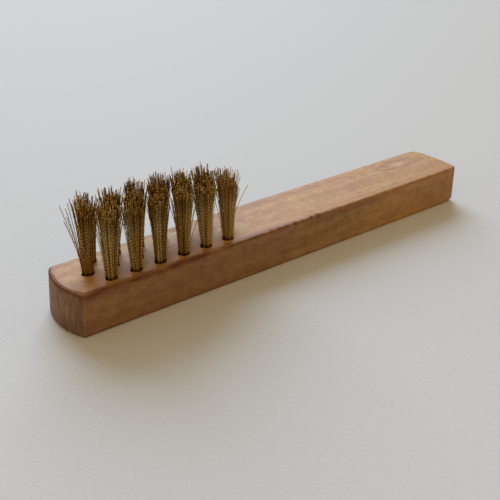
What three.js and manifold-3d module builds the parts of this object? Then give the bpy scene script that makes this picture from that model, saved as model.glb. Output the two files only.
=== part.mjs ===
// Small brass wire brush: a straight hardwood block with three staggered rows of wire tufts.
// Every tuft is a bundle of brass wire bent double over a flat steel anchor, which is driven to
// the bottom of a blind hole and bites into the wood on both sides of it.
// Millimetres. +X runs from the brush head to the grip end, +Z is the way the wires point, and the
// origin is the centre of the block's underside.
import * as THREE from "three";
import { mergeVertices } from "three/addons/utils/BufferGeometryUtils.js";
import Module from "manifold-3d";

// Block
const LENGTH = 203; // over both bowed ends, at the underside
const WIDTH = 28;
const THICKNESS = 17.4;
const HEAD_BOW = 3.5; // how far the head end bulges past its own corners
const GRIP_BOW = 1.2; // the same for the grip end
const HEAD_RAKE = 1.2; // how much further the head end reaches at the underside than at the face
const HEAD_CORNERS = { front: 1.8, back: 1.8 }; // plan radius of each upright corner at the head
const GRIP_CORNERS = { front: 2.4, back: 5 }; // the same at the grip end, where the palm rubs
const HEAD_EDGE = 1.5; // round along the top and bottom edges at the head, which wears most
const GRIP_EDGE = 1; // the same along the grip
const HEEL_EDGE = 2.4; // round along the bottom edge at the very end of the grip
const HEEL_LENGTH = 9; // over which the bottom edge eases into it

// Hole field
const PITCH = 10.5; // from tuft to tuft along a row
const ROW_SPACING = 8.1; // from row to row
const OUTER_TUFTS = 6; // in the front row and in the back row; the middle row has one more
const HEAD_MARGIN = 12.8; // from the head end's crown, at the face, to the middle row's first hole
const HOLE_DIAMETER = 4.6;
const HOLE_DEPTH = 10.5; // to the end of the straight wall
const DRILL_POINT = 1; // depth of the drill's cone below it

// Tufts
const TRIM_AT_HEAD = 27.4; // mean height of the wire tips above the block, at the first tuft
const TRIM_AT_GRIP = 25.2; // the same at the last tuft, on the side that wears most
const TIP_SCATTER = 1.5; // how much longer or shorter than that a strand may be
const CROWN_DROP = 1.6; // how much lower the outermost strands end
const CROWN_GAP = 0.7; // between the crowns of neighbouring tufts
const STRAND_DIAMETER = 1.05; // one strand stands for about ten wires
const FIT_GAP = 0.15; // between a tuft, its anchor and the wood
const ROOT_BELOW_FACE = 0.8; // how far under the block's face the strands part
const STRAND_OVERLAP = 1.2; // length that a strand shares with its root

// Anchors
const ANCHOR_THICKNESS = 0.5;
const ANCHOR_HEIGHT = 2.2;
const ANCHOR_BITE = 0.8; // into the wood at each end
const ANCHOR_POINT = 0.6; // chamfer on the two lower corners
const BEND_THICKNESS = 1.7; // wire that passes under the anchor

const ROUND_STEPS = 4; // facets across an edge's round
const ARC_STEPS = { bow: 8, corner: 5 };
const HOLE_SIDES = 12;
const STRAND_SIDES = 5;
const STRAND_STEPS = { outer: 3, inner: 2 }; // straight runs in a curved strand

const wasm = await Module();
wasm.setup();

const wood = new THREE.MeshStandardMaterial({ color: 0xa9744a, roughness: 0.55, metalness: 0 });
const brass = new THREE.MeshStandardMaterial({ color: 0x8d7236, roughness: 0.35, metalness: 1 });
const steel = new THREE.MeshStandardMaterial({ color: 0xa8abae, roughness: 0.4, metalness: 1 });

// A closed three.js geometry as a manifold-3d solid.
function solidOf(geometry) {
  const bare = geometry.clone();
  bare.deleteAttribute("normal");
  bare.deleteAttribute("uv");
  const merged = mergeVertices(bare, 1e-4);
  const mesh = new wasm.Mesh({
    numProp: 3,
    vertProperties: new Float32Array(merged.attributes.position.array),
    triVerts: new Uint32Array(merged.index.array),
  });
  return new wasm.Manifold(mesh);
}

// A manifold-3d solid as a three.js geometry, flat shaded.
function geometryOf(solid) {
  const { vertProperties, triVerts } = solid.getMesh();
  const geometry = new THREE.BufferGeometry();
  geometry.setAttribute("position", new THREE.BufferAttribute(new Float32Array(vertProperties), 3));
  geometry.setIndex(new THREE.BufferAttribute(new Uint32Array(triVerts), 1));
  const flat = geometry.toNonIndexed();
  flat.computeVertexNormals();
  return flat;
}

// A box from its two opposite corners.
function boxBetween(low, high) {
  const size = high.clone().sub(low);
  const centre = high.clone().add(low).multiplyScalar(0.5);
  return new THREE.BoxGeometry(size.x, size.y, size.z).translate(centre.x, centre.y, centre.z);
}

// ---- Block ----

// Points of an arc with their outward normals.
function arc(x, y, radius, from, to, steps) {
  return Array.from({ length: steps + 1 }, (_, i) => {
    const angle = from + ((to - from) * i) / steps;
    const normal = new THREE.Vector2(Math.cos(angle), Math.sin(angle));
    return { point: normal.clone().multiplyScalar(radius).add(new THREE.Vector2(x, y)), normal };
  });
}

// One bowed end of the plan outline, for an end that faces +X: first corner, bow, second corner. The
// bow is an arc with its centre on the block's axis, and each corner round touches it and a
// straight side.
function bowedEnd(bow, firstCorner, secondCorner) {
  const half = WIDTH / 2;
  const radius = (half * half + bow * bow) / (2 * bow);
  const bowCentre = LENGTH / 2 - radius;
  const corner = (round, side) => {
    const y = side * (half - round);
    const x = bowCentre + Math.sqrt((radius - round) ** 2 - y * y);
    return { round, x, y, meet: Math.atan2(y, x - bowCentre) };
  };
  const [first, second] = [corner(firstCorner, -1), corner(secondCorner, 1)];
  return [
    ...arc(first.x, first.y, first.round, -Math.PI / 2, first.meet, ARC_STEPS.corner),
    ...arc(bowCentre, 0, radius, first.meet, second.meet, ARC_STEPS.bow).slice(1, -1),
    ...arc(second.x, second.y, second.round, second.meet, Math.PI / 2, ARC_STEPS.corner),
  ];
}

// The plan outline, anticlockwise: the grip end, then the head end turned half round. Each point
// has the distance that it stands back at the face, which is the head end's rake or nothing.
function blockOutline() {
  const gripEnd = bowedEnd(GRIP_BOW, GRIP_CORNERS.front, GRIP_CORNERS.back);
  const headEnd = bowedEnd(HEAD_BOW, HEAD_CORNERS.back, HEAD_CORNERS.front);
  const grip = gripEnd.map((at) => ({ ...at, rake: 0 }));
  const head = headEnd.map(({ point, normal }) => ({
    point: point.clone().negate(),
    normal: normal.clone().negate(),
    rake: HEAD_RAKE,
  }));
  return [...grip, ...head];
}

// Radius of the edge round at a place along the block: full at the head, easing off to the grip's,
// and growing again along the bottom at the very end of the grip.
function edgeRound(x, atTop) {
  const { lerp, smoothstep } = THREE.MathUtils;
  const fieldEnd = holeX(OUTER_TUFTS) + PITCH;
  const round = lerp(HEAD_EDGE, GRIP_EDGE, smoothstep(x, -LENGTH / 2, fieldEnd));
  const heel = smoothstep(x, LENGTH / 2 - HEEL_LENGTH, LENGTH / 2);
  return atTop ? round : lerp(round, HEEL_EDGE, heel);
}

// The plain block: rings of the outline, drawn in along a quarter round at the bottom and the top.
function plainBlock() {
  const outline = blockOutline();
  const turns = Array.from({ length: ROUND_STEPS + 1 }, (_, i) => ((Math.PI / 2) * i) / ROUND_STEPS);
  const ring = (turn, atTop) =>
    outline.map(({ point, normal, rake }) => {
      const round = edgeRound(point.x, atTop);
      const inset = round * (1 - Math.sin(turn));
      const lift = round * (1 - Math.cos(turn));
      const z = atTop ? THICKNESS - lift : lift;
      const back = (rake * Math.max(0, z - round)) / (THICKNESS - round);
      return [point.x - normal.x * inset + back, point.y - normal.y * inset, z];
    });
  const rings = [
    ...turns.map((turn) => ring(turn, false)),
    ...turns.toReversed().map((turn) => ring(turn, true)),
  ];
  const count = outline.length;
  const points = [...rings.flat(), [0, 0, 0], [0, 0, THICKNESS]];
  const [low, high] = [points.length - 2, points.length - 1];
  const faces = [];
  for (let i = 0; i < count; i++) {
    const next = (i + 1) % count;
    for (let k = 0; k + 1 < rings.length; k++) {
      const [a, b] = [k * count + i, k * count + next];
      faces.push(a, b, b + count, a, b + count, a + count);
    }
    const top = (rings.length - 1) * count;
    faces.push(low, next, i, high, top + i, top + next);
  }
  const geometry = new THREE.BufferGeometry();
  geometry.setAttribute("position", new THREE.Float32BufferAttribute(points.flat(), 3));
  geometry.setIndex(faces);
  return geometry;
}

// ---- Hole field ----

// Where along the block a tuft's hole is: 0 is the middle row's first hole, and each step is half
// a pitch, so the middle row has the even places and the outer rows the odd ones between them.
function holeX(tuft, row = 0) {
  const first = -LENGTH / 2 + HEAD_RAKE + HEAD_MARGIN;
  return first + (row === 0 ? tuft : tuft + 0.5) * PITCH;
}

const ROWS = [
  { name: "front", side: -1, tufts: OUTER_TUFTS },
  { name: "middle", side: 0, tufts: OUTER_TUFTS + 1 },
  { name: "back", side: 1, tufts: OUTER_TUFTS },
];

const PLACES = ROWS.flatMap(({ name, side, tufts }) =>
  Array.from({ length: tufts }, (_, i) => ({
    label: `${name}_${i + 1}`,
    x: holeX(i, side),
    y: side * ROW_SPACING,
  })),
);

const FACE = THICKNESS;
const HOLE_FLOOR = FACE - HOLE_DEPTH;
const ANCHOR_FOOT = HOLE_FLOOR + BEND_THICKNESS;
const ANCHOR_LENGTH = HOLE_DIAMETER + 2 * ANCHOR_BITE;
const ROOT_TOP = FACE - ROOT_BELOW_FACE;

// A drilled hole's form about the Z axis, drawn in by a gap: the straight wall and the drill's cone.
function boreForm(gap, top) {
  const radius = HOLE_DIAMETER / 2 - gap;
  const profile = [
    new THREE.Vector2(0, HOLE_FLOOR - DRILL_POINT + gap),
    new THREE.Vector2(radius, HOLE_FLOOR + gap),
    new THREE.Vector2(radius, top),
    new THREE.Vector2(0, top),
  ];
  const turned = new THREE.LatheGeometry(profile, HOLE_SIDES);
  return turned.rotateX(Math.PI / 2);
}

// The slot that the anchor takes up: its seat and the groove that it cuts on its way down.
function anchorSlot(gap, halfLength, top) {
  const halfWidth = ANCHOR_THICKNESS / 2 + gap;
  return boxBetween(
    new THREE.Vector3(-halfLength, -halfWidth, ANCHOR_FOOT - gap),
    new THREE.Vector3(halfLength, halfWidth, top),
  );
}

function block() {
  const above = FACE + 1;
  const bore = solidOf(boreForm(0, above));
  const slot = solidOf(anchorSlot(FIT_GAP, ANCHOR_LENGTH / 2 + FIT_GAP, above));
  const socket = bore.add(slot);
  const sockets = PLACES.map(({ x, y }) => socket.translate(x, y, 0));
  return geometryOf(sockets.reduce((left, hole) => left.subtract(hole), solidOf(plainBlock())));
}

// ---- Anchors ----

// A flat strip on edge across the hole, with its lower corners cut off to lead it into the wood.
function anchor() {
  const half = ANCHOR_LENGTH / 2;
  const face = new THREE.Shape([
    new THREE.Vector2(-half + ANCHOR_POINT, 0),
    new THREE.Vector2(half - ANCHOR_POINT, 0),
    new THREE.Vector2(half, ANCHOR_POINT),
    new THREE.Vector2(half, ANCHOR_HEIGHT),
    new THREE.Vector2(-half, ANCHOR_HEIGHT),
    new THREE.Vector2(-half, ANCHOR_POINT),
  ]);
  const strip = new THREE.ExtrudeGeometry(face, { depth: ANCHOR_THICKNESS, bevelEnabled: false });
  return strip.rotateX(Math.PI / 2).translate(0, ANCHOR_THICKNESS / 2, ANCHOR_FOOT);
}

// ---- Tufts ----

const STRAND_RADIUS = STRAND_DIAMETER / 2;
const NEAREST_TUFT = Math.min(PITCH, Math.hypot(PITCH / 2, ROW_SPACING));
const CROWN_RADIUS = (NEAREST_TUFT - CROWN_GAP) / 2 - STRAND_RADIUS;
const ROOT_RADIUS = HOLE_DIAMETER / 2 - FIT_GAP - STRAND_RADIUS;

// Where the strands of one leg stand, as an angle from the anchor's line and a share of the radius:
// four round the outside and two behind them. The other leg mirrors them across the anchor.
const LEG_STRANDS = [
  { angle: 27, share: 1 },
  { angle: 69, share: 1 },
  { angle: 111, share: 1 },
  { angle: 153, share: 1 },
  { angle: 55, share: 0.45 },
  { angle: 125, share: 0.45 },
];
const GOLDEN = (Math.sqrt(5) - 1) / 2;

// An even scatter from -1 to 1 that is the same on every build.
function scatter(n) {
  return 2 * ((n * GOLDEN) % 1) - 1;
}

// Height of the trimmed wire above the block at a place along it.
function trimAt(x) {
  const along = (x - holeX(0)) / (OUTER_TUFTS * PITCH);
  return THREE.MathUtils.lerp(TRIM_AT_HEAD, TRIM_AT_GRIP, along);
}

// One strand: upright where it leaves the root, then curving outwards to its tip.
function strand(angle, share, trim, number) {
  const turn = THREE.MathUtils.degToRad(angle);
  const place = (radius, z) => new THREE.Vector3(radius * Math.cos(turn), radius * Math.sin(turn), z);
  const tip = FACE + trim + TIP_SCATTER * scatter(number) - CROWN_DROP * share;
  const foot = ROOT_TOP - STRAND_OVERLAP;
  const spread = (ROOT_RADIUS + CROWN_RADIUS) / 2;
  const line = new THREE.QuadraticBezierCurve3(
    place(ROOT_RADIUS * share, foot),
    place(spread * share * 0.86, (foot + tip) / 2),
    place(CROWN_RADIUS * share, tip),
  );
  const section = new THREE.Shape(
    Array.from({ length: STRAND_SIDES }, (_, i) => {
      const around = (2 * Math.PI * i) / STRAND_SIDES;
      return new THREE.Vector2(Math.cos(around), Math.sin(around)).multiplyScalar(STRAND_RADIUS);
    }),
  );
  const steps = share < 1 ? STRAND_STEPS.inner : STRAND_STEPS.outer;
  return new THREE.ExtrudeGeometry(section, { extrudePath: line, steps });
}

// A tuft: the root, bent double under the anchor and filling the hole, and its strands.
function tuft(x, number) {
  const root = solidOf(boreForm(FIT_GAP, ROOT_TOP));
  const slot = solidOf(anchorSlot(FIT_GAP, HOLE_DIAMETER, ROOT_TOP + 1));
  const legs = [1, -1].flatMap((side) => LEG_STRANDS.map((at) => ({ ...at, angle: side * at.angle })));
  const strands = legs.map(({ angle, share }, i) =>
    solidOf(strand(angle, share, trimAt(x), number * legs.length + i)),
  );
  return geometryOf(strands.reduce((joined, one) => joined.add(one), root.subtract(slot)));
}

// ---- Assembly ----

function named(name, geometry, material, x = 0, y = 0) {
  const mesh = new THREE.Mesh(geometry, material);
  mesh.name = name;
  mesh.position.set(x, y, 0);
  return mesh;
}

const brush = new THREE.Group();
brush.add(named("handle", block(), wood));
PLACES.forEach(({ label, x, y }, i) => {
  brush.add(named(`anchor_${label}`, anchor(), steel, x, y));
  brush.add(named(`tuft_${label}`, tuft(x, i), brass, x, y));
});

export default brush;
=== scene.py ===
"""A small brass scratch brush: a hand-worn beech block with nineteen tufts of crimped brass wire.

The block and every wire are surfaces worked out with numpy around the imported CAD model, which
gives the block's box, the axis of each tuft and the height of its wire. Lengths are in metres.
"""

import math

import bpy
import numpy as np
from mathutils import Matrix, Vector


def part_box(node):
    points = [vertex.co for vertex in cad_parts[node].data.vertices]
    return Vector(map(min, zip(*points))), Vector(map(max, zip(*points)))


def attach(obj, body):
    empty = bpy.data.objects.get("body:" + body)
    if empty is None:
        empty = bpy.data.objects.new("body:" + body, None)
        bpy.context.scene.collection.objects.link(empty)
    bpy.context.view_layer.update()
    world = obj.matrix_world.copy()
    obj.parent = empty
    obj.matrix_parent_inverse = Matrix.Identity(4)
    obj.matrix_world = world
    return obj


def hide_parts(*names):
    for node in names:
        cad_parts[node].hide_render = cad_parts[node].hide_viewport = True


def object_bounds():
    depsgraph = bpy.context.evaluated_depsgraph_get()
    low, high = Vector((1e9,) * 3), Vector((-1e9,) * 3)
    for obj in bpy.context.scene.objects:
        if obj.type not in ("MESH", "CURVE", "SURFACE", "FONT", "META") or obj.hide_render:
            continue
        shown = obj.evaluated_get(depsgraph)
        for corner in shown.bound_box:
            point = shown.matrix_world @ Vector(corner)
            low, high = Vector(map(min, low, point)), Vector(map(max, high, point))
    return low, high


MM = 0.001
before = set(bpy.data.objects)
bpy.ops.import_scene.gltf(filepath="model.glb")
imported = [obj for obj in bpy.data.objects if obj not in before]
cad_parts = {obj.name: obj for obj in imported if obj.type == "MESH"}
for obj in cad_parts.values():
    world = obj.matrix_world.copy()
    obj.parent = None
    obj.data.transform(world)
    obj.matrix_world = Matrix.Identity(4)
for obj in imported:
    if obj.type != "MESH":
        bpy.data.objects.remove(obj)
CAD_LOW, CAD_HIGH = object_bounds()
BLOCK_LOW, BLOCK_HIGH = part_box("handle")
TUFTS = sorted(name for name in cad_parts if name.startswith("tuft_"))

# ---- Sizes that the block shares with the CAD model ----

HALF_WIDTH = (BLOCK_HIGH.y - BLOCK_LOW.y) / 2
THICKNESS = BLOCK_HIGH.z - BLOCK_LOW.z
FACE = BLOCK_HIGH.z
HEAD_BOW, GRIP_BOW = 3.5 * MM, 1.2 * MM
HEAD_CORNERS = (1.8 * MM, 1.8 * MM)  # in front and at the back
GRIP_CORNERS = (2.4 * MM, 5 * MM)
HEEL_EDGE, HEEL_LENGTH = 2.4 * MM, 9 * MM
HEAD_RAKE = 1.2 * MM
PITCH, ROW_SPACING = 10.5 * MM, 8.1 * MM
HOLE_RADIUS, HOLE_DEPTH = 2.3 * MM, 10.5 * MM
FIELD_START, FIELD_END = BLOCK_LOW.x + 8.75 * MM, BLOCK_LOW.x + 82.25 * MM

# ---- Small helpers ----


def smooth(low, high, value):
    """Rises from 0 at low to 1 at high along 3t^2 - 2t^3, and is flat outside."""
    t = np.clip((value - low) / (high - low), 0, 1)
    return t * t * (3 - 2 * t)


def ripple(*coordinates, seed=0, octaves=3):
    """A smooth wandering value, about -1 to 1: sines of random direction and phase, each octave
    twice as fine and half as strong as the last."""
    draw = np.random.default_rng(seed)
    total = 0
    for octave in range(octaves):
        for _ in range(4):
            turns = draw.normal(size=len(coordinates)) * 2**octave
            phase = draw.uniform(0, 2 * math.pi)
            angle = sum(turn * at for turn, at in zip(turns, coordinates)) + phase
            total = total + np.sin(angle) / 2**octave / 2.5
    return total


def linear(hex_colour):
    """An sRGB hex colour as the linear colour that shaders take."""
    channels = [int(hex_colour[i : i + 2], 16) / 255 for i in (1, 3, 5)]
    bent = [c / 12.92 if c <= 0.04045 else ((c + 0.055) / 1.055) ** 2.4 for c in channels]
    return (*bent, 1.0)


def make_object(name, points, faces, material, **attributes):
    """A mesh object from arrays of points and quads, smooth shaded, with float point attributes.
    A quad whose last two corners are the same is a triangle."""
    mesh = bpy.data.meshes.new(name)
    quads = np.asarray(faces)
    single = quads[:, 2] == quads[:, 3]
    sizes = np.where(single, 3, 4)
    corners = quads[np.arange(4)[None, :] < sizes[:, None]]
    mesh.vertices.add(len(points))
    mesh.vertices.foreach_set("co", np.asarray(points, np.float32).ravel())
    mesh.loops.add(len(corners))
    mesh.loops.foreach_set("vertex_index", corners.astype(np.int32))
    mesh.polygons.add(len(quads))
    starts = np.concatenate([[0], np.cumsum(sizes)[:-1]])
    mesh.polygons.foreach_set("loop_start", starts.astype(np.int32))
    mesh.polygons.foreach_set("use_smooth", np.ones(len(quads), bool))
    for key, values in attributes.items():
        layer = mesh.attributes.new(key, "FLOAT", "POINT")
        layer.data.foreach_set("value", np.asarray(values, np.float32).ravel())
    mesh.update(calc_edges=True)
    mesh.validate()
    mesh.materials.append(material)
    made = bpy.data.objects.new(name, mesh)
    bpy.context.scene.collection.objects.link(made)
    return made


# ---- Materials ----


def add(tree, kind, inputs=None, stops=(), output=0, **settings):
    """Adds a node and returns one of its outputs. Inputs maps a socket's name or number to its
    value or to the output that feeds it, stops are a ramp's (place, hex colour) pairs, and the
    settings are the node's own properties."""
    node = tree.nodes.new(kind)
    for key, value in settings.items():
        setattr(node, key, value)
    for socket, value in (inputs or {}).items():
        if isinstance(value, bpy.types.NodeSocket):
            tree.links.new(value, node.inputs[socket])
        else:
            node.inputs[socket].default_value = value
    for number, (place, colour) in enumerate(stops):
        if number >= len(node.color_ramp.elements):
            node.color_ramp.elements.new(1.0)
        node.color_ramp.elements[number].position = place
        node.color_ramp.elements[number].color = linear(colour)
    return node.outputs[output]


def new_material(name, finish):
    """A material with only its Principled shader, whose sockets take the values of finish, as
    (material, tree, shader)."""
    material = bpy.data.materials.new(name)
    material.use_nodes = True
    shader = material.node_tree.nodes["Principled BSDF"]
    for socket, value in finish.items():
        shader.inputs[socket].default_value = value
    return material, material.node_tree, shader


# Sockets of a colour Mix node: its amount, the colour under, the colour over, and its result.
AMOUNT, UNDER, OVER, MIXED = 0, 6, 7, 2


def worn_beech():
    """Planed and sanded beech that hands have polished: pinkish tan with long soft streaks along
    the grain, short dark ray flecks, reddish brown where the edges wear, and darker, greyer end
    grain. The pores are open, so it is satin."""
    material, tree, shader = new_material("worn_beech", {"IOR": 1.5, "Specular IOR Level": 0.3})
    place = add(tree, "ShaderNodeTexCoord", output="Object")

    # Streaks of early and late wood, 2 to 6 mm wide and several centimetres long.
    grain = add(tree, "ShaderNodeMapping", {"Vector": place, "Scale": (14, 220, 260)})
    settings = {"Vector": grain, "Scale": 1.0, "Detail": 4.0, "Roughness": 0.55, "Distortion": 0.3}
    streaks = add(tree, "ShaderNodeTexNoise", settings)
    stops = ((0.3, "#c2965d"), (0.48, "#cea367"), (0.6, "#d6b070"), (0.75, "#debc80"))
    colour = add(tree, "ShaderNodeValToRGB", {"Fac": streaks}, stops)

    # Slow drift from pinkish to yellowish over 3 cm.
    wide = add(tree, "ShaderNodeMapping", {"Vector": place, "Scale": (30, 70, 70)})
    drift = add(tree, "ShaderNodeTexNoise", {"Vector": wide, "Scale": 1.0, "Detail": 1.0})
    tint = add(tree, "ShaderNodeValToRGB", {"Fac": drift}, ((0.35, "#ffe6dc"), (0.65, "#fff3d2")))
    sockets = {AMOUNT: 0.7, UNDER: colour, OVER: tint}
    colour = add(tree, "ShaderNodeMix", sockets, output=MIXED, data_type="RGBA", blend_type="MULTIPLY")

    # Mottling from hands and sanding, in soft spots about 4 mm wide.
    settings = {"Vector": place, "Scale": 230.0, "Detail": 2.0, "Distortion": 0.4}
    spots = add(tree, "ShaderNodeTexNoise", settings)
    tint = add(tree, "ShaderNodeValToRGB", {"Fac": spots}, ((0.35, "#d9cdc4"), (0.6, "#ffffff")))
    sockets = {AMOUNT: 0.5, UNDER: colour, OVER: tint}
    colour = add(tree, "ShaderNodeMix", sockets, output=MIXED, data_type="RGBA", blend_type="MULTIPLY")

    # Ray flecks and pores: dashes 0.25 mm wide and 2 mm long.
    fine = add(tree, "ShaderNodeMapping", {"Vector": place, "Scale": (420, 3200, 3200)})
    flecks = add(tree, "ShaderNodeTexNoise", {"Vector": fine, "Scale": 1.0, "Detail": 2.0})
    tint = add(tree, "ShaderNodeValToRGB", {"Fac": flecks}, ((0.34, "#b79f8c"), (0.5, "#ffffff")))
    sockets = {AMOUNT: 0.35, UNDER: colour, OVER: tint}
    colour = add(tree, "ShaderNodeMix", sockets, output=MIXED, data_type="RGBA", blend_type="MULTIPLY")

    # End grain: greyish brown, in soft streaks about 2 mm wide that run up the end.
    upright = add(tree, "ShaderNodeMapping", {"Vector": place, "Scale": (200, 600, 150)})
    settings = {"Vector": upright, "Scale": 1.0, "Detail": 3.0, "Roughness": 0.6}
    end_streaks = add(tree, "ShaderNodeTexNoise", settings)
    stops = ((0.32, "#86623c"), (0.5, "#977149"), (0.68, "#b08a64"))
    end_colour = add(tree, "ShaderNodeValToRGB", {"Fac": end_streaks}, stops)

    # Patches about 4 mm long and 1 mm across, which break up what is laid over the wood.
    blotch = add(tree, "ShaderNodeMapping", {"Vector": place, "Scale": (150, 500, 400)})
    patches = add(tree, "ShaderNodeTexNoise", {"Vector": blotch, "Scale": 1.0, "Detail": 3.0})
    patchy = add(tree, "ShaderNodeMapRange", {0: patches, 1: 0.3, 2: 0.6, 3: 0.25, 4: 1.0})

    # What lies over it, as (attribute, strength, whether in patches, blend, colour): end grain, metal
    # dust rubbed into the head's face, worn edges, a darkening of the sides and by the head that carries
    # painted shade of the tufts, the outlines and the pink heart of a small knot, and painted shade down
    # the holes and at their mouths.
    for mark, strength, broken, blend, laid in (
        ("end", 1.0, False, "MIX", end_colour),
        ("stain", 0.85, False, "MIX", linear("#9c6f3c")),
        ("edge", 1.0, True, "MIX", linear("#86461e")),
        # darker sides and head, with painted shade of the tufts on the face
        ("grime", 1.0, False, "MULTIPLY", linear("#b9b5cc")),
        ("knot", 0.75, True, "MIX", linear("#8f6242")),
        ("heart", 0.75, False, "MIX", linear("#e6b998")),
        # painted shade in the holes, slight at the mouths and dark down the walls
        ("rim", 0.65, False, "MIX", linear("#3a2413")),
    ):
        amount = add(tree, "ShaderNodeAttribute", output="Fac", attribute_name=mark)
        amount = add(tree, "ShaderNodeMath", {0: amount, 1: strength}, operation="MULTIPLY")
        if broken:
            amount = add(tree, "ShaderNodeMath", {0: amount, 1: patchy}, operation="MULTIPLY")
        sockets = {AMOUNT: amount, UNDER: colour, OVER: laid}
        colour = add(tree, "ShaderNodeMix", sockets, output=MIXED, data_type="RGBA", blend_type=blend)
    tree.links.new(colour, shader.inputs["Base Color"])

    roughness = add(tree, "ShaderNodeMapRange", {0: flecks, 1: 0.3, 2: 0.6, 3: 0.66, 4: 0.56})
    tree.links.new(roughness, shader.inputs["Roughness"])
    bump = add(tree, "ShaderNodeBump", {"Height": flecks, "Strength": 0.35, "Distance": 0.00012})
    tree.links.new(bump, shader.inputs["Normal"])
    return material


def crimped_brass():
    """Drawn 70/30 brass wire, crimped cold: dull golden brown from handling, with a painted highlight on
    each bend of the crimp, and darker where it is packed at the root and towards the cut tip, as dirt
    with painted shade of the packed wires."""
    material, tree, shader = new_material("crimped_brass", {"Metallic": 1.0})
    shade = add(tree, "ShaderNodeAttribute", output="Fac", attribute_name="shade")
    roughness = add(tree, "ShaderNodeMapRange", {0: shade, 1: 0.0, 2: 1.0, 3: 0.5, 4: 0.3})
    tree.links.new(roughness, shader.inputs["Roughness"])
    stops = ((0.0, "#6a522c"), (0.3, "#e2b664"), (0.6, "#ffe698"), (1.0, "#fffad2"))
    colour = add(tree, "ShaderNodeValToRGB", {"Fac": shade}, stops)
    # Darker at the root and towards the tip: dirt with painted shade of the packed wires.
    height = add(tree, "ShaderNodeAttribute", output="Fac", attribute_name="height")
    stops = ((0.0, "#93805f"), (0.06, "#fff6e6"), (0.6, "#ffffff"), (0.85, "#cabca2"))
    dirt_and_shade = add(tree, "ShaderNodeValToRGB", {"Fac": height}, stops)
    sockets = {AMOUNT: 1.0, UNDER: colour, OVER: dirt_and_shade}
    colour = add(tree, "ShaderNodeMix", sockets, output=MIXED, data_type="RGBA", blend_type="MULTIPLY")

    # Painted highlights on the bends: "bend" counts them up the wire, so one painted glint falls on each,
    # with darker wire between.
    bend = add(tree, "ShaderNodeAttribute", output="Fac", attribute_name="bend")
    angle = add(tree, "ShaderNodeMath", {0: bend, 1: 2 * math.pi}, operation="MULTIPLY")
    wave = add(tree, "ShaderNodeMath", {0: angle}, operation="COSINE")
    painted_glint = add(tree, "ShaderNodeMapRange", {0: wave, 1: -0.4, 2: 0.8, 3: 0.0, 4: 1.0})
    stops = ((0.0, "#b09a78"), (1.0, "#ffffff"))
    bends = add(tree, "ShaderNodeValToRGB", {"Fac": painted_glint}, stops)
    sockets = {AMOUNT: 0.9, UNDER: colour, OVER: bends}
    colour = add(tree, "ShaderNodeMix", sockets, output=MIXED, data_type="RGBA", blend_type="MULTIPLY")
    tree.links.new(colour, shader.inputs["Base Color"])
    bump = add(tree, "ShaderNodeBump", {"Height": wave, "Strength": 0.5, "Distance": 0.00008})
    tree.links.new(bump, shader.inputs["Normal"])
    return material


def anchor_wire():
    """Flat rolled steel strip, grey and a little dull from rolling oil, with fine lines along it
    from the rolls."""
    finish = {"Metallic": 1.0, "Roughness": 0.38}
    material, tree, shader = new_material("rolled_steel", finish)
    place = add(tree, "ShaderNodeTexCoord", output="Object")
    along = add(tree, "ShaderNodeMapping", {"Vector": place, "Scale": (200, 4000, 4000)})
    lines = add(tree, "ShaderNodeTexNoise", {"Vector": along, "Scale": 1.0})
    colour = add(tree, "ShaderNodeValToRGB", {"Fac": lines}, ((0.3, "#8b8d90"), (0.7, "#b4b6b8")))
    tree.links.new(colour, shader.inputs["Base Color"])
    return material


# ---- The block ----

ALONG_HEAD, ALONG_FIELD, ALONG_GRIP = 14, 84, 230
CELL_STEPS_X = 12
ACROSS_EDGE, ACROSS_ROW = 2, 9
ROUND_STEPS, SIDE_STEPS = 6, 10
RIM_RINGS = 6
WALL_DEPTHS = (0.12, 0.35, 1.2, 3, 6, HOLE_DEPTH / MM)  # of the rings down a hole, in mm
DRILL_POINT = 1 * MM
DENTS = ((-43.7, 9.9, 0.22), (-26.5, 1.7, 0.18), (6, -4, 0.12), (38, 5, 0.1))  # x, y, depth in mm


def end_depth(y, bow, corners):
    """How far the end's outline lies inside its crown at a distance y from the axis: on the bow's
    arc, and past where they touch, on the corner's arc."""
    radius = (HALF_WIDTH**2 + bow**2) / (2 * bow)
    corner = np.where(y < 0, *corners)
    corner_y = HALF_WIDTH - corner
    corner_x = radius - np.sqrt((radius - corner) ** 2 - corner_y**2)
    meet_y = corner_y * radius / (radius - corner)
    y = np.abs(y)
    on_bow = radius - np.sqrt(radius**2 - np.minimum(y, meet_y) ** 2)
    on_corner = corner_x - np.sqrt(np.maximum(corner**2 - (np.maximum(y, corner_y) - corner_y) ** 2, 0))
    return np.where(y < meet_y, on_bow, on_corner)


def end_corner(bow, corners):
    """Half way round each corner's arc, front and back: (how far inside the crown, y)."""
    y = (HALF_WIDTH - np.array(corners) * (1 - math.sqrt(0.5))) * (-1, 1)
    return list(zip(end_depth(y, bow, corners), y))


def side_line(x, side):
    """Distance of the outline from the axis at each x, on side 0, the front, or 1, the back: the
    full half width, and round the two corners' arcs near the ends."""
    half = np.full_like(x, HALF_WIDTH)
    for crown, inward, bow, corner in (
        (BLOCK_LOW.x, 1, HEAD_BOW, HEAD_CORNERS[side]),
        (BLOCK_HIGH.x, -1, GRIP_BOW, GRIP_CORNERS[side]),
    ):
        radius = (HALF_WIDTH**2 + bow**2) / (2 * bow)
        centre = radius - math.sqrt((radius - corner) ** 2 - (HALF_WIDTH - corner) ** 2)
        short = np.clip(centre - (x - crown) * inward, 0, corner)
        half = np.minimum(half, HALF_WIDTH - corner + np.sqrt(corner**2 - short**2))
    return half


def across_places():
    """Where the grid's lines cross the block, as shares of its width: an edge strip, a cell for
    each of the three rows, and an edge strip."""
    cell = 1.5 * ROW_SPACING / HALF_WIDTH
    edge = np.linspace(-1, -cell, ACROSS_EDGE + 1)[:-1]
    rows = np.linspace(-cell, cell, 3 * ACROSS_ROW + 1)
    return np.concatenate([edge, rows, -edge[::-1]])


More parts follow.
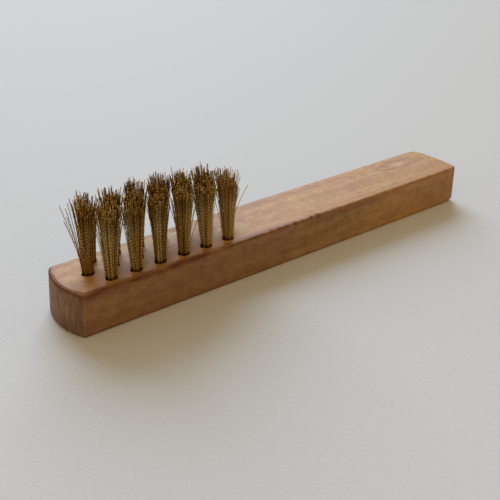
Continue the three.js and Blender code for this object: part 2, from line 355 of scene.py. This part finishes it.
def along_places(side):
    """Where the grid's lines meet a side of the block: from the head's corner to the tuft field,
    the field in twelfths of a pitch, and then evenly to the grip's corner."""
    head = BLOCK_LOW.x + end_corner(HEAD_BOW, HEAD_CORNERS)[side][0]
    grip = BLOCK_HIGH.x - end_corner(GRIP_BOW, GRIP_CORNERS)[side][0]
    to_field = head + (FIELD_START - head) * np.linspace(0, 1, ALONG_HEAD + 1)[:-1]
    field = np.linspace(FIELD_START, FIELD_END, ALONG_FIELD + 1)
    t = np.linspace(0, 1, ALONG_GRIP + 1)[1:]
    closer = 1 - (1 - t) ** 1.06
    return np.concatenate([to_field, field, FIELD_END + (grip - FIELD_END) * closer])


def end_line(crown, inward, bow, corners):
    """The outline across an end, from its front corner to its back one."""
    (_, front), (_, back) = end_corner(bow, corners)
    y = front + (back - front) * (across_places() + 1) / 2
    return np.stack([crown + inward * end_depth(y, bow, corners), y], 1)


def block_outline():
    """The plan outline, anticlockwise from the head's front corner, as points, outward normals
    and the share of the head's rake that each point takes."""
    x = along_places(0)
    front = np.stack([x, -side_line(x, 0)], 1)
    x = along_places(1)[::-1]
    back = np.stack([x, side_line(x, 1)], 1)
    grip = end_line(BLOCK_HIGH.x, -1, GRIP_BOW, GRIP_CORNERS)
    head = end_line(BLOCK_LOW.x, 1, HEAD_BOW, HEAD_CORNERS)[::-1]
    points = np.concatenate([front[:-1], grip[:-1], back[:-1], head[:-1]])
    steps = np.roll(points, -1, 0) - points
    steps /= np.linalg.norm(steps, axis=1)[:, None]
    tangent = steps + np.roll(steps, 1, 0)
    normal = np.stack([tangent[:, 1], -tangent[:, 0]], 1)
    normal /= np.linalg.norm(normal, axis=1)[:, None]
    rake = smooth(FIELD_START, BLOCK_LOW.x + HEAD_BOW, points[:, 0])
    return points, normal, rake


def edge_radius(points, at_top):
    """Radius of the round along an edge at each outline point: largest at the head, which wears
    most, and along the underside at the grip's end. The front edge of the face is worn wider by
    the head, crisp towards the grip, and torn in small bites along a stretch in between."""
    x = points[:, 0]
    radius = (1.3 - 0.4 * smooth(BLOCK_LOW.x, FIELD_END + PITCH, x)) * MM
    if not at_top:
        return radius + (HEEL_EDGE - radius) * smooth(BLOCK_HIGH.x - HEEL_LENGTH, BLOCK_HIGH.x, x)
    front = smooth(-0.3 * HALF_WIDTH, -0.9 * HALF_WIDTH, points[:, 1])
    worn = 0.9 * smooth(-30 * MM, -55 * MM, x) - 0.25 * smooth(-40 * MM, -10 * MM, x)
    torn = smooth(-18 * MM, -8 * MM, x) * smooth(30 * MM, 14 * MM, x)
    bites = np.clip(ripple(x / (1.1 * MM), seed=4) + 0.6 * ripple(x / (0.45 * MM), seed=5), 0, 1.3)
    nicks = 0.15 * np.clip(ripple(x / (3 * MM), seed=6), 0, 1)
    return radius + front * (worn + 1.2 * torn * bites + nicks) * MM


def block_shell(points, normal, rake):
    """Rings of the outline up the block, bottom to top: drawn in along a quarter round at the
    underside and at the face, and straight between. Returns the points and, for each, how much
    it belongs to an edge and to the end grain, which fades out over the round up to the face."""
    low, high = edge_radius(points, False), edge_radius(points, True)
    end = smooth(0.45, 0.85, np.abs(normal[:, 0]))
    rings, edges = [], []
    for turn in np.linspace(0, math.pi / 2, ROUND_STEPS + 1):
        rings.append((low * (1 - math.sin(turn)), low * (1 - math.cos(turn))))
        edges.append(0.25 + 0.5 * math.sin(2 * turn))
    for t in np.linspace(0, 1, SIDE_STEPS + 1)[1:-1]:
        rings.append((0 * low, low + (THICKNESS - high - low) * t))
        edges.append(0.25 * max(0, 1 - 8 * min(t, 1 - t)))
    for turn in np.linspace(math.pi / 2, 0, ROUND_STEPS + 1):
        rings.append((high * (1 - math.sin(turn)), THICKNESS - high * (1 - math.cos(turn))))
        edges.append(0.3 + 0.7 * math.sin(2 * turn))
    shell, edge, ends = [], [], []
    fade = np.ones(len(rings))
    fade[-ROUND_STEPS - 1 :] = smooth(0.2, 1.3, np.linspace(math.pi / 2, 0, ROUND_STEPS + 1))
    for (inset, height), amount, share in zip(rings, edges, fade):
        back = HEAD_RAKE * rake * np.clip((height - low) / (THICKNESS - low), 0, 1)
        flat = points - normal * inset[:, None]
        shell.append(np.stack([flat[:, 0] + back, flat[:, 1], BLOCK_LOW.z + height], 1))
        edge.append(np.full(len(points), amount))
        ends.append(end * share)
    return np.array(shell), np.array(edge), np.array(ends)


def cap_grid(ring, count):
    """The grid that fills a ring of outline points: straight lines from the front edge to the
    back, pushed out near the two ends by what the end stands beyond such a line. Returns plan
    points (along, across, 2) and the ring's number for each place on the border."""
    n, m = count
    number = np.full((n, m), -1)
    total = 2 * (n - 1) + 2 * (m - 1)
    number[:, 0] = np.arange(n)
    number[-1, :] = n - 1 + np.arange(m)
    number[:, -1] = (n - 1) + (m - 1) + (n - 1) - np.arange(n)
    number[0, :] = (2 * (n - 1) + 2 * (m - 1) - np.arange(m)) % total
    border = lambda where: ring[number[where]][..., :2]
    front, back = border((slice(None), 0))[:, None], border((slice(None), -1))[:, None]
    across = ((across_places() + 1) / 2)[None, :, None]
    grid = front * (1 - across) + back * across
    x = grid[:, :1, :1]
    near_head = smooth(FIELD_START, ring[0, 0], x)
    near_grip = smooth(ring[n - 1, 0] - PITCH, ring[n - 1, 0], x)
    head_push = border((0, slice(None)))[None] - grid[:1]
    grip_push = border((-1, slice(None)))[None] - grid[-1:]
    return grid + near_head * head_push + near_grip * grip_push, number


def hole_axes():
    """For each tuft: its hole's axis in plan, and the grid cell that the hole takes the place of."""
    for name in TUFTS:
        low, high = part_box(name.replace("tuft", "anchor"))
        centre = (np.array(low) + np.array(high))[:2] / 2
        row = round(centre[1] / ROW_SPACING) + 1
        first = ALONG_HEAD + round((centre[0] - PITCH / 2 - FIELD_START) / PITCH * CELL_STEPS_X)
        yield name, centre, slice(first, first + CELL_STEPS_X), ACROSS_EDGE + ACROSS_ROW * row


def hole_rings(centre, border, seed):
    """A drilled hole in its cell: rings that turn from the cell's border to a circle, over a rim
    that is broken on one side, and down the wall, with the anchor's two grooves along the block.
    Returns the rings' points and how much painted shade each ring's wood takes: a little at the mouth,
    and more down the wall to full shade."""
    out = border - centre
    angle = np.arctan2(out[:, 1], out[:, 0])
    ray = np.stack([np.cos(angle), np.sin(angle)], 1)
    groove = 0.3 * MM * smooth(0.2, 0.08, np.abs(np.sin(angle)))
    torn = smooth(-0.2, 0.9, -np.cos(angle - 0.6))
    chips = np.clip(ripple(3 * ray[:, 0], 3 * ray[:, 1], seed=seed), 0, 1) * torn
    radius = HOLE_RADIUS + groove
    rim = radius + 0.06 * MM + 0.3 * MM * chips
    rings, dark = [], []
    for t in np.linspace(0, 1, RIM_RINGS + 1)[1:]:
        share = 1 - (1 - t) ** 2
        plan = border * (1 - share) + (centre + ray * rim[:, None]) * share
        rings.append(np.column_stack([plan, np.full(len(plan), FACE)]))
        # Painted shade at the hole's mouth.
        dark.append(0.3 * smooth(0.9, 1, t))
    for depth in WALL_DEPTHS:
        lean = smooth(0, 0.6, depth)
        plan = centre + ray * (rim * (1 - lean) + radius * lean)[:, None]
        rings.append(np.column_stack([plan, np.full(len(plan), FACE - depth * MM)]))
        # Painted shade, darker down the wall.
        dark.append(min(1, 0.7 + depth))
    return np.array(rings), np.array(dark)


def strip(one, two):
    """Quads between two closed loops of point numbers that run the same way."""
    return np.stack([one, np.roll(one, -1), np.roll(two, -1), two], 1)


def figure_wear_and_shade(points):
    """Fields over the wood: the knot's outlines, its heart, the stain by the head, and a darkening of the
    sides and of the face by the head, heaviest on the near side by the head, with painted shade of the
    tufts on the face in front of them. Each is a function of place; the outlines are where a stretched
    distance from the heart crosses 1."""
    x, y, z = points.T
    on_face = smooth(FACE - 1.5 * MM, FACE - 0.5 * MM, z)
    wander = 0.25 * ripple(x / (9 * MM), y / (4 * MM), seed=11)
    far = np.hypot((x - 80.5 * MM) / (10.5 * MM), (y - 6.3 * MM) / (3.6 * MM)) + wander
    outline = np.exp(-(((far - 1) / 0.24) ** 2)) + 0.7 * np.exp(-(((far - 0.55) / 0.14) ** 2))
    knot = np.clip(outline, 0, 1) * smooth(96 * MM, 86 * MM, x) * on_face
    heart = np.exp(-(np.hypot((x - 81 * MM) / (3.6 * MM), (y - 5.2 * MM) / (1.5 * MM)) ** 2)) * on_face
    stain = smooth(-60 * MM, -88 * MM, x) * smooth(4 * MM, -9 * MM, y) * on_face
    stain = stain * np.clip(0.65 + 0.5 * ripple(x / (16 * MM), y / (5 * MM), seed=12), 0, 1)
    blotch = 0.2 * ripple(x / (20 * MM), z / (6 * MM), seed=13)
    # The sides darker than the face, most at the head and least at the grip.
    side = (1.15 - 0.72 * smooth(-20 * MM, 95 * MM, x) + blotch) * smooth(FACE, FACE - 0.8 * MM, z)
    head = smooth(FIELD_START, BLOCK_LOW.x, x)
    corner = 0.25 + 0.5 * smooth(8 * MM, -14 * MM, y) + 0.3 * smooth(10 * MM, 0, z) + 0.6 * blotch
    # Painted shade that the tufts cast on the face in front of them, on the head's half.
    painted_tuft_shade = 0.28 * smooth(-8 * MM, -13 * MM, y) * smooth(40 * MM, 0, x) * on_face
    # Darker sides, most at the head; the head's end darker towards its front and bottom; the face a
    # little darker by the head; and the tufts' painted shade.
    grime = side + (corner - side) * head * (1 - on_face) + painted_tuft_shade + 0.3 * head * on_face
    return {"knot": knot, "heart": heart, "stain": stain, "grime": np.clip(grime, 0, 1)}


def worn_band(points):
    """How worn the face is beside its front edge and the head's edge: full to 1.5 mm in from the
    outline and none past 3.4 mm, and weaker along the front edge towards the grip."""
    x, y, z = points.T
    y = np.clip(y, -HALF_WIDTH, HALF_WIDTH)
    head = x - BLOCK_LOW.x - end_depth(y, HEAD_BOW, HEAD_CORNERS)
    front = (y + HALF_WIDTH) + 1.2 * MM * smooth(-20 * MM, 60 * MM, x)
    inside = np.minimum(head, front) + 0.5 * MM * ripple(x / (5 * MM), y / (3 * MM), seed=14)
    return 0.9 * smooth(3.4 * MM, 1.5 * MM, inside) * (z > FACE - 0.1 * MM)


def settle(points):
    """Moves the wood inwards by up to a tenth of a millimetre, as planing and sanding leave it,
    and presses a few shallow dents into the face behind the tufts."""
    x, y, z = points.T.copy()
    sag = 0.5 + 0.5 * np.clip(ripple(x / (30 * MM), y / (12 * MM), seed=21), -1, 1)
    upper = smooth(FACE - 3 * MM, FACE, z)
    z = z - 0.1 * MM * sag * upper
    for dent_x, dent_y, depth in DENTS:
        near = np.hypot((x / MM - dent_x) / 1.6, (y / MM - dent_y) / 0.9)
        z = z - depth * MM * np.exp(-(near**2)) * upper
    pull = 0.5 + 0.5 * np.clip(ripple(x / (28 * MM), z / (9 * MM), seed=22), -1, 1)
    y = y * (1 - 0.1 * MM / HALF_WIDTH * pull)
    return np.stack([x, y, z], 1)


def build_block(material):
    """The whole block as one closed surface: its shell, the underside, and the face with its
    holes sunk in it."""
    points, normal, rake = block_outline()
    shell, edge, end = block_shell(points, normal, rake)
    ring_count, around = shell.shape[:2]
    count = (len(along_places(0)), len(across_places()))
    numbers = np.arange(ring_count * around).reshape(ring_count, around)
    parts, faces = [shell.reshape(-1, 3)], []
    # The "rim" mark is painted shade in the holes.
    marks = {"edge": [edge.ravel()], "end": [end.ravel()], "rim": [np.zeros(edge.size)]}
    for low, high in zip(numbers[:-1], numbers[1:]):
        faces.append(strip(low, high))

    def append(new, edge_mark=0.0, end_mark=0.0, hole_shade_mark=0.0):
        """Adds points and returns their numbers."""
        first = sum(len(part) for part in parts)
        parts.append(new)
        for key, mark in (("edge", edge_mark), ("end", end_mark), ("rim", hole_shade_mark)):
            marks[key].append(np.broadcast_to(np.asarray(mark, float), len(new)))
        return first + np.arange(len(new))

    def cap(ring, base, height):
        """Fills a ring of the shell with its grid; returns the grid's point numbers and plan."""
        plan, number = cap_grid(ring, count)
        inner = number < 0
        number = np.where(inner, number, base + number)
        inner_points = np.column_stack([plan[inner], np.full(inner.sum(), height)])
        number[inner] = append(inner_points)
        return number, plan

    top, plan = cap(shell[-1], numbers[-1, 0], FACE)
    bottom, _ = cap(shell[0], 0, BLOCK_LOW.z)
    keep = np.ones((count[0] - 1, count[1] - 1), bool)
    for seed, (_, centre, along, first) in enumerate(hole_axes()):
        across = slice(first, first + ACROSS_ROW)
        keep[along, across] = False
        i, j = (along.start, along.stop), (across.start, across.stop)
        walk = [(a, j[0]) for a in range(i[0], i[1])] + [(i[1], b) for b in range(j[0], j[1])]
        walk += [(a, j[1]) for a in range(i[1], i[0], -1)] + [(i[0], b) for b in range(j[1], j[0], -1)]
        where = tuple(np.array(walk).T)
        rings, dark = hole_rings(centre, plan[where], 40 + seed)
        loop = top[where]
        for ring, amount in zip(rings, dark):
            new = append(ring, hole_shade_mark=amount)
            faces.append(strip(loop, new))
            loop = new
        # The drill's point in full painted shade.
        tip = append(np.array([[*centre, FACE - HOLE_DEPTH - DRILL_POINT]]), hole_shade_mark=1.0)[0]
        faces.append(np.stack([loop, np.roll(loop, -1), 0 * loop + tip, 0 * loop + tip], 1))

    def quads(number):
        return np.stack([number[:-1, :-1], number[1:, :-1], number[1:, 1:], number[:-1, 1:]], -1)

    faces.append(quads(top)[keep])
    faces.append(quads(bottom).reshape(-1, 4)[:, ::-1])
    every = np.concatenate(parts)
    fields = {key: np.concatenate(value) for key, value in marks.items()}
    fields.update(figure_wear_and_shade(every))
    less_to_grip = 1 - 0.65 * smooth(-25 * MM, 45 * MM, every[:, 0])
    fields["edge"] = np.maximum(fields["edge"], worn_band(every)) * less_to_grip
    block = make_object("handle_block", settle(every), np.concatenate(faces), material, **fields)
    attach(block, "root")
    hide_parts("handle")
    return block


# ---- The wire ----

WIRES = 120
WIRE_RADIUS = 0.155 * MM
CRIMP_HALF_WAVES = 20  # about 1.4 mm each
CRIMP = 0.11 * MM
TRIM_AT_HEAD, TRIM_AT_GRIP = 28 * MM, 25.8 * MM  # the longest wires, above the face
TRIM_DIFFERENCE = {  # in mm
    "tuft_back_1": 0.8,
    "tuft_back_3": 1.0,
    "tuft_back_4": 1.2,
    "tuft_back_6": -0.8,
}
BENT = {  # where bent wires end: along and across from the tuft's axis, and below its top, in mm
    "tuft_middle_1": [
        (-6.3, 4.8, 0.5),
        (-4.6, 3.4, 1.5),
        (-4.9, 1.6, 4),
        (-3.4, 4.2, 0.2),
        (-5.6, 2.6, 6),
    ],
    "tuft_back_1": [(-4.4, 3.2, 2), (-3.8, 4, 3.5)],
    "tuft_middle_7": [(8.5, -1.5, 9), (4.6, -2.8, 4)],
    "tuft_front_4": [(5.5, -1.2, 12)],
    "tuft_front_2": [(-5.2, 0.5, 3), (4.8, -1, 5)],
}
ROOT_RADIUS, CROWN_RADIUS = 2.05 * MM, 4.2 * MM
ROOT_DEPTH = 1.3 * MM
LEG_FLATNESS, LEG_GAP = 0.72, 0.52 * MM
LOCKS = 7
LOCK_PULL = 0.35  # how far a wire moves towards the middle of its lock
FLARE = 1.5
WILD_SHARE, LONG_SHARE = 0.09, 0.1  # of the wires lean at random, or stand nearly full height
TOP_MARGIN = 0.35 * MM  # the tips stay this far below the CAD model's top
GOLDEN_ANGLE = math.pi * (3 - math.sqrt(5))
WIRE_SIDES = 3


def tubes(lines, radius):
    """Three-sided tubes along many lines at once (lines, rings, 3), closed at both ends. At each
    ring the section is set square to the line's own direction. Returns points and quads."""
    count, rings = lines.shape[:2]
    along = np.gradient(lines, axis=1)
    along /= np.linalg.norm(along, axis=2)[..., None]
    one = np.cross(along, (1.0, 0.0, 0.0))
    one /= np.linalg.norm(one, axis=2)[..., None]
    two = np.cross(along, one)
    turn = 2 * math.pi * np.arange(WIRE_SIDES) / WIRE_SIDES
    section = one[:, :, None] * np.cos(turn)[:, None] + two[:, :, None] * np.sin(turn)[:, None]
    points = lines[:, :, None] + section * radius
    number = np.arange(count * rings * WIRE_SIDES).reshape(count, rings, WIRE_SIDES)
    low, high = number[:, :-1], number[:, 1:]
    walls = np.stack([low, np.roll(low, -1, 2), np.roll(high, -1, 2), high], -1).reshape(-1, 4)
    first, last = number[:, 0, ::-1], number[:, -1]
    ends = np.concatenate([first, last])[:, (0, 1, 2, 2)]
    return points.reshape(-1, 3), np.concatenate([walls, ends])


def wire_lines(centre, tips_at, bent, draw):
    """Centre lines of a tuft's wires. The roots fill a disc in a sunflower pattern, split into
    the two legs that come up either side of the anchor. Each wire leaves upright, then leans
    outwards in proportion to its place in the disc, with its height raised to a power above 1
    so that the tuft is tight at its base, and zigzags sideways with the crimp. Going round the
    tuft each wire starts a little lower than the last, once per lock, so the bends rise in
    slanting rows. A few wires are bent wide or across the tuft, and the outermost ones lean to the
    places that bent gives, as (along, across, drop) from the middle of the crown in mm."""
    k = np.arange(WIRES)
    share = np.sqrt((k + 0.5) / WIRES)
    angle = k * GOLDEN_ANGLE + draw.uniform(0, 2 * math.pi)
    sector = np.round(angle / (2 * math.pi) * LOCKS) * 2 * math.pi / LOCKS
    angle = angle + LOCK_PULL * (sector - angle)
    disc = np.stack([share * np.cos(angle), share * np.sin(angle)], 1)
    leg = np.where(disc[:, 1] > 0, 1, -1)
    gap = np.stack([0 * leg, leg * LEG_GAP], 1)
    root = centre + disc * ROOT_RADIUS * (1, LEG_FLATNESS) + gap
    reach = CROWN_RADIUS * draw.normal(1, 0.1, WIRES)
    tip = centre + disc * reach[:, None] + 2 * gap + draw.normal(0, 0.45 * MM, (WIRES, 2))
    wild = draw.random(WIRES) < WILD_SHARE
    tip = tip + wild[:, None] * draw.normal(0, 1.8 * MM, (WIRES, 2))
    height = tips_at - draw.uniform(0.2, 4.2, WIRES) * MM - 1.4 * MM * share**2
    height = np.where(draw.random(WIRES) < LONG_SHARE, tips_at - draw.uniform(0, 1.2, WIRES) * MM, height)
    if bent:
        lean = np.array(bent) * MM
        near = np.argsort(-(disc @ lean[:, :2].mean(0)))[: len(bent)]
        height[near] = tips_at - lean[:, 2]
        eased = ((height[near] - FACE) / (tips_at - FACE)) ** FLARE
        tip[near] = centre + lean[:, :2] / eased[:, None]
    turn = (np.arctan2(disc[:, 1], disc[:, 0]) / (2 * math.pi) % 1) * LOCKS
    lock = np.floor(turn).astype(int) % LOCKS
    phase = (turn + draw.normal(0, 0.1, WIRES)) % 1
    half_wave = (tips_at - FACE + ROOT_DEPTH) / CRIMP_HALF_WAVES
    start = (FACE - ROOT_DEPTH - phase * half_wave)[:, None]
    t = np.linspace(0, 1, CRIMP_HALF_WAVES + 1)[None, :]
    z = start + (height[:, None] - start) * t
    ease = np.clip((z - FACE) / (tips_at - FACE), 0, None) ** FLARE
    plan = root[:, None] + (tip - root)[:, None] * ease[..., None]
    plane = draw.normal(0.9, 0.35, WIRES)
    zigzag = np.where(np.arange(CRIMP_HALF_WAVES + 1) % 2 == 0, 1, -1)
    swing = CRIMP * zigzag * np.where(draw.random(WIRES) < 0.8, 1, -1)[:, None]
    plan = plan + swing[..., None] * np.stack([np.cos(plane), np.sin(plane)], 1)[:, None]
    shade = 0.6 * draw.random(LOCKS)[lock] + 0.4 * draw.beta(1.3, 1.3, WIRES)
    return np.concatenate([plan, z[..., None]], 2), shade


def build_tuft(name, centre, seed, material):
    """A tuft of loose crimped wires in the place of its CAD stand-in."""
    draw = np.random.default_rng(seed)
    along = (centre[0] - FIELD_START) / (FIELD_END - FIELD_START)
    trim = TRIM_AT_HEAD + (TRIM_AT_GRIP - TRIM_AT_HEAD) * along
    tips_at = min(FACE + trim + TRIM_DIFFERENCE.get(name, 0) * MM, CAD_HIGH.z - TOP_MARGIN)
    lines, shade = wire_lines(centre, tips_at, BENT.get(name), draw)
    lines[..., 1] = np.clip(lines[..., 1], CAD_LOW.y + 0.3 * MM, CAD_HIGH.y - 0.3 * MM)
    lines[..., 2] = np.minimum(lines[..., 2], CAD_HIGH.z - 0.3 * MM)
    points, faces = tubes(lines, WIRE_RADIUS)
    per_wire = len(points) // len(lines)
    bend = np.tile(np.repeat(np.arange(lines.shape[1]), WIRE_SIDES), len(lines))
    marks = {
        "shade": np.repeat(shade, per_wire),
        "bend": bend,
        "height": np.clip((points[:, 2] - FACE) / (tips_at - FACE), 0, 1),
    }
    tuft = make_object(name.replace("tuft", "wires"), points, faces, material, **marks)
    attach(tuft, "root")
    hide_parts(name)
    return tuft


# ---- Build ----

build_block(worn_beech())
brass = crimped_brass()
for seed, (name, centre, _, _) in enumerate(hole_axes()):
    build_tuft(name, centre, 100 + seed, brass)

steel = anchor_wire()
for name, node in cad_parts.items():
    if name.startswith("anchor_"):
        node.data.materials.clear()
        node.data.materials.append(steel)

# ---- Table, light and camera ----

VIEW_TURN = math.radians(-37.5)
VIEW_RISE = math.radians(27.74)
VIEW_DISTANCE = 0.330
AIM = Vector((BLOCK_LOW.x + 72.3 * MM, -21.7 * MM, FACE))


def toward(turn, rise):
    """The direction from the object to a viewer at an azimuth, 0 being -Y, and an elevation."""
    flat = math.cos(rise)
    return Vector((math.sin(turn) * flat, -math.cos(turn) * flat, math.sin(rise)))


def table_top():
    """A matt white laminate table, a little grey, that the brush lies on."""
    material, tree, shader = new_material("matt_laminate", {"Roughness": 0.7, "Specular IOR Level": 0.15})
    place = add(tree, "ShaderNodeTexCoord", output="Object")
    grain = add(tree, "ShaderNodeTexNoise", {"Vector": place, "Scale": 900.0, "Detail": 2.0})
    colour = add(tree, "ShaderNodeValToRGB", {"Fac": grain}, ((0.3, "#dcdcdc"), (0.7, "#e2e2e2")))
    tree.links.new(colour, shader.inputs["Base Color"])
    half = 30.0
    points = [(x * half, y * half, BLOCK_LOW.z) for x, y in ((-1, -1), (1, -1), (1, 1), (-1, 1))]
    floor = make_object("table", points, [(0, 1, 2, 3)], material)


def far_light(name, turn, rise, width, strength, colour):
    """Even light from a patch of sky or wall that is so many degrees wide."""
    lamp = bpy.data.lights.new(name, "SUN")
    lamp.angle = math.radians(width)
    lamp.energy, lamp.color = strength, colour
    light = bpy.data.objects.new(name, lamp)
    away = toward(math.radians(turn), math.radians(rise))
    light.location = away
    light.rotation_mode = "QUATERNION"
    light.rotation_quaternion = away.to_track_quat("Z", "Y")
    bpy.context.scene.collection.objects.link(light)


def room_light(colour, strength):
    """Even light from the room around."""
    world = bpy.data.worlds.new("room")
    world.use_nodes = True
    background = world.node_tree.nodes["Background"]
    background.inputs["Color"].default_value = colour
    background.inputs["Strength"].default_value = strength
    bpy.context.scene.world = world


def camera():
    """The viewing camera: a short telephoto, looking down on the brush from its front left."""
    data = bpy.data.cameras.new("camera")
    data.lens, data.sensor_width = 61.45, 36
    data.clip_start, data.clip_end = 0.01, 100
    made = bpy.data.objects.new("camera", data)
    away = toward(VIEW_TURN, VIEW_RISE)
    made.location = AIM + away * VIEW_DISTANCE
    made.rotation_mode = "QUATERNION"
    made.rotation_quaternion = away.to_track_quat("Z", "Y")
    bpy.context.scene.collection.objects.link(made)
    bpy.context.scene.camera = made


table_top()
far_light("window", 156, 29, 48, 3.2, (0.64, 0.8, 1.03))
far_light("room_bounce", -40, 25, 90, 0.69, (1.0, 0.67, 0.3))
room_light((1.0, 0.83, 0.54, 1), 0.33)
camera()
bpy.context.scene.view_settings.view_transform = "Standard"
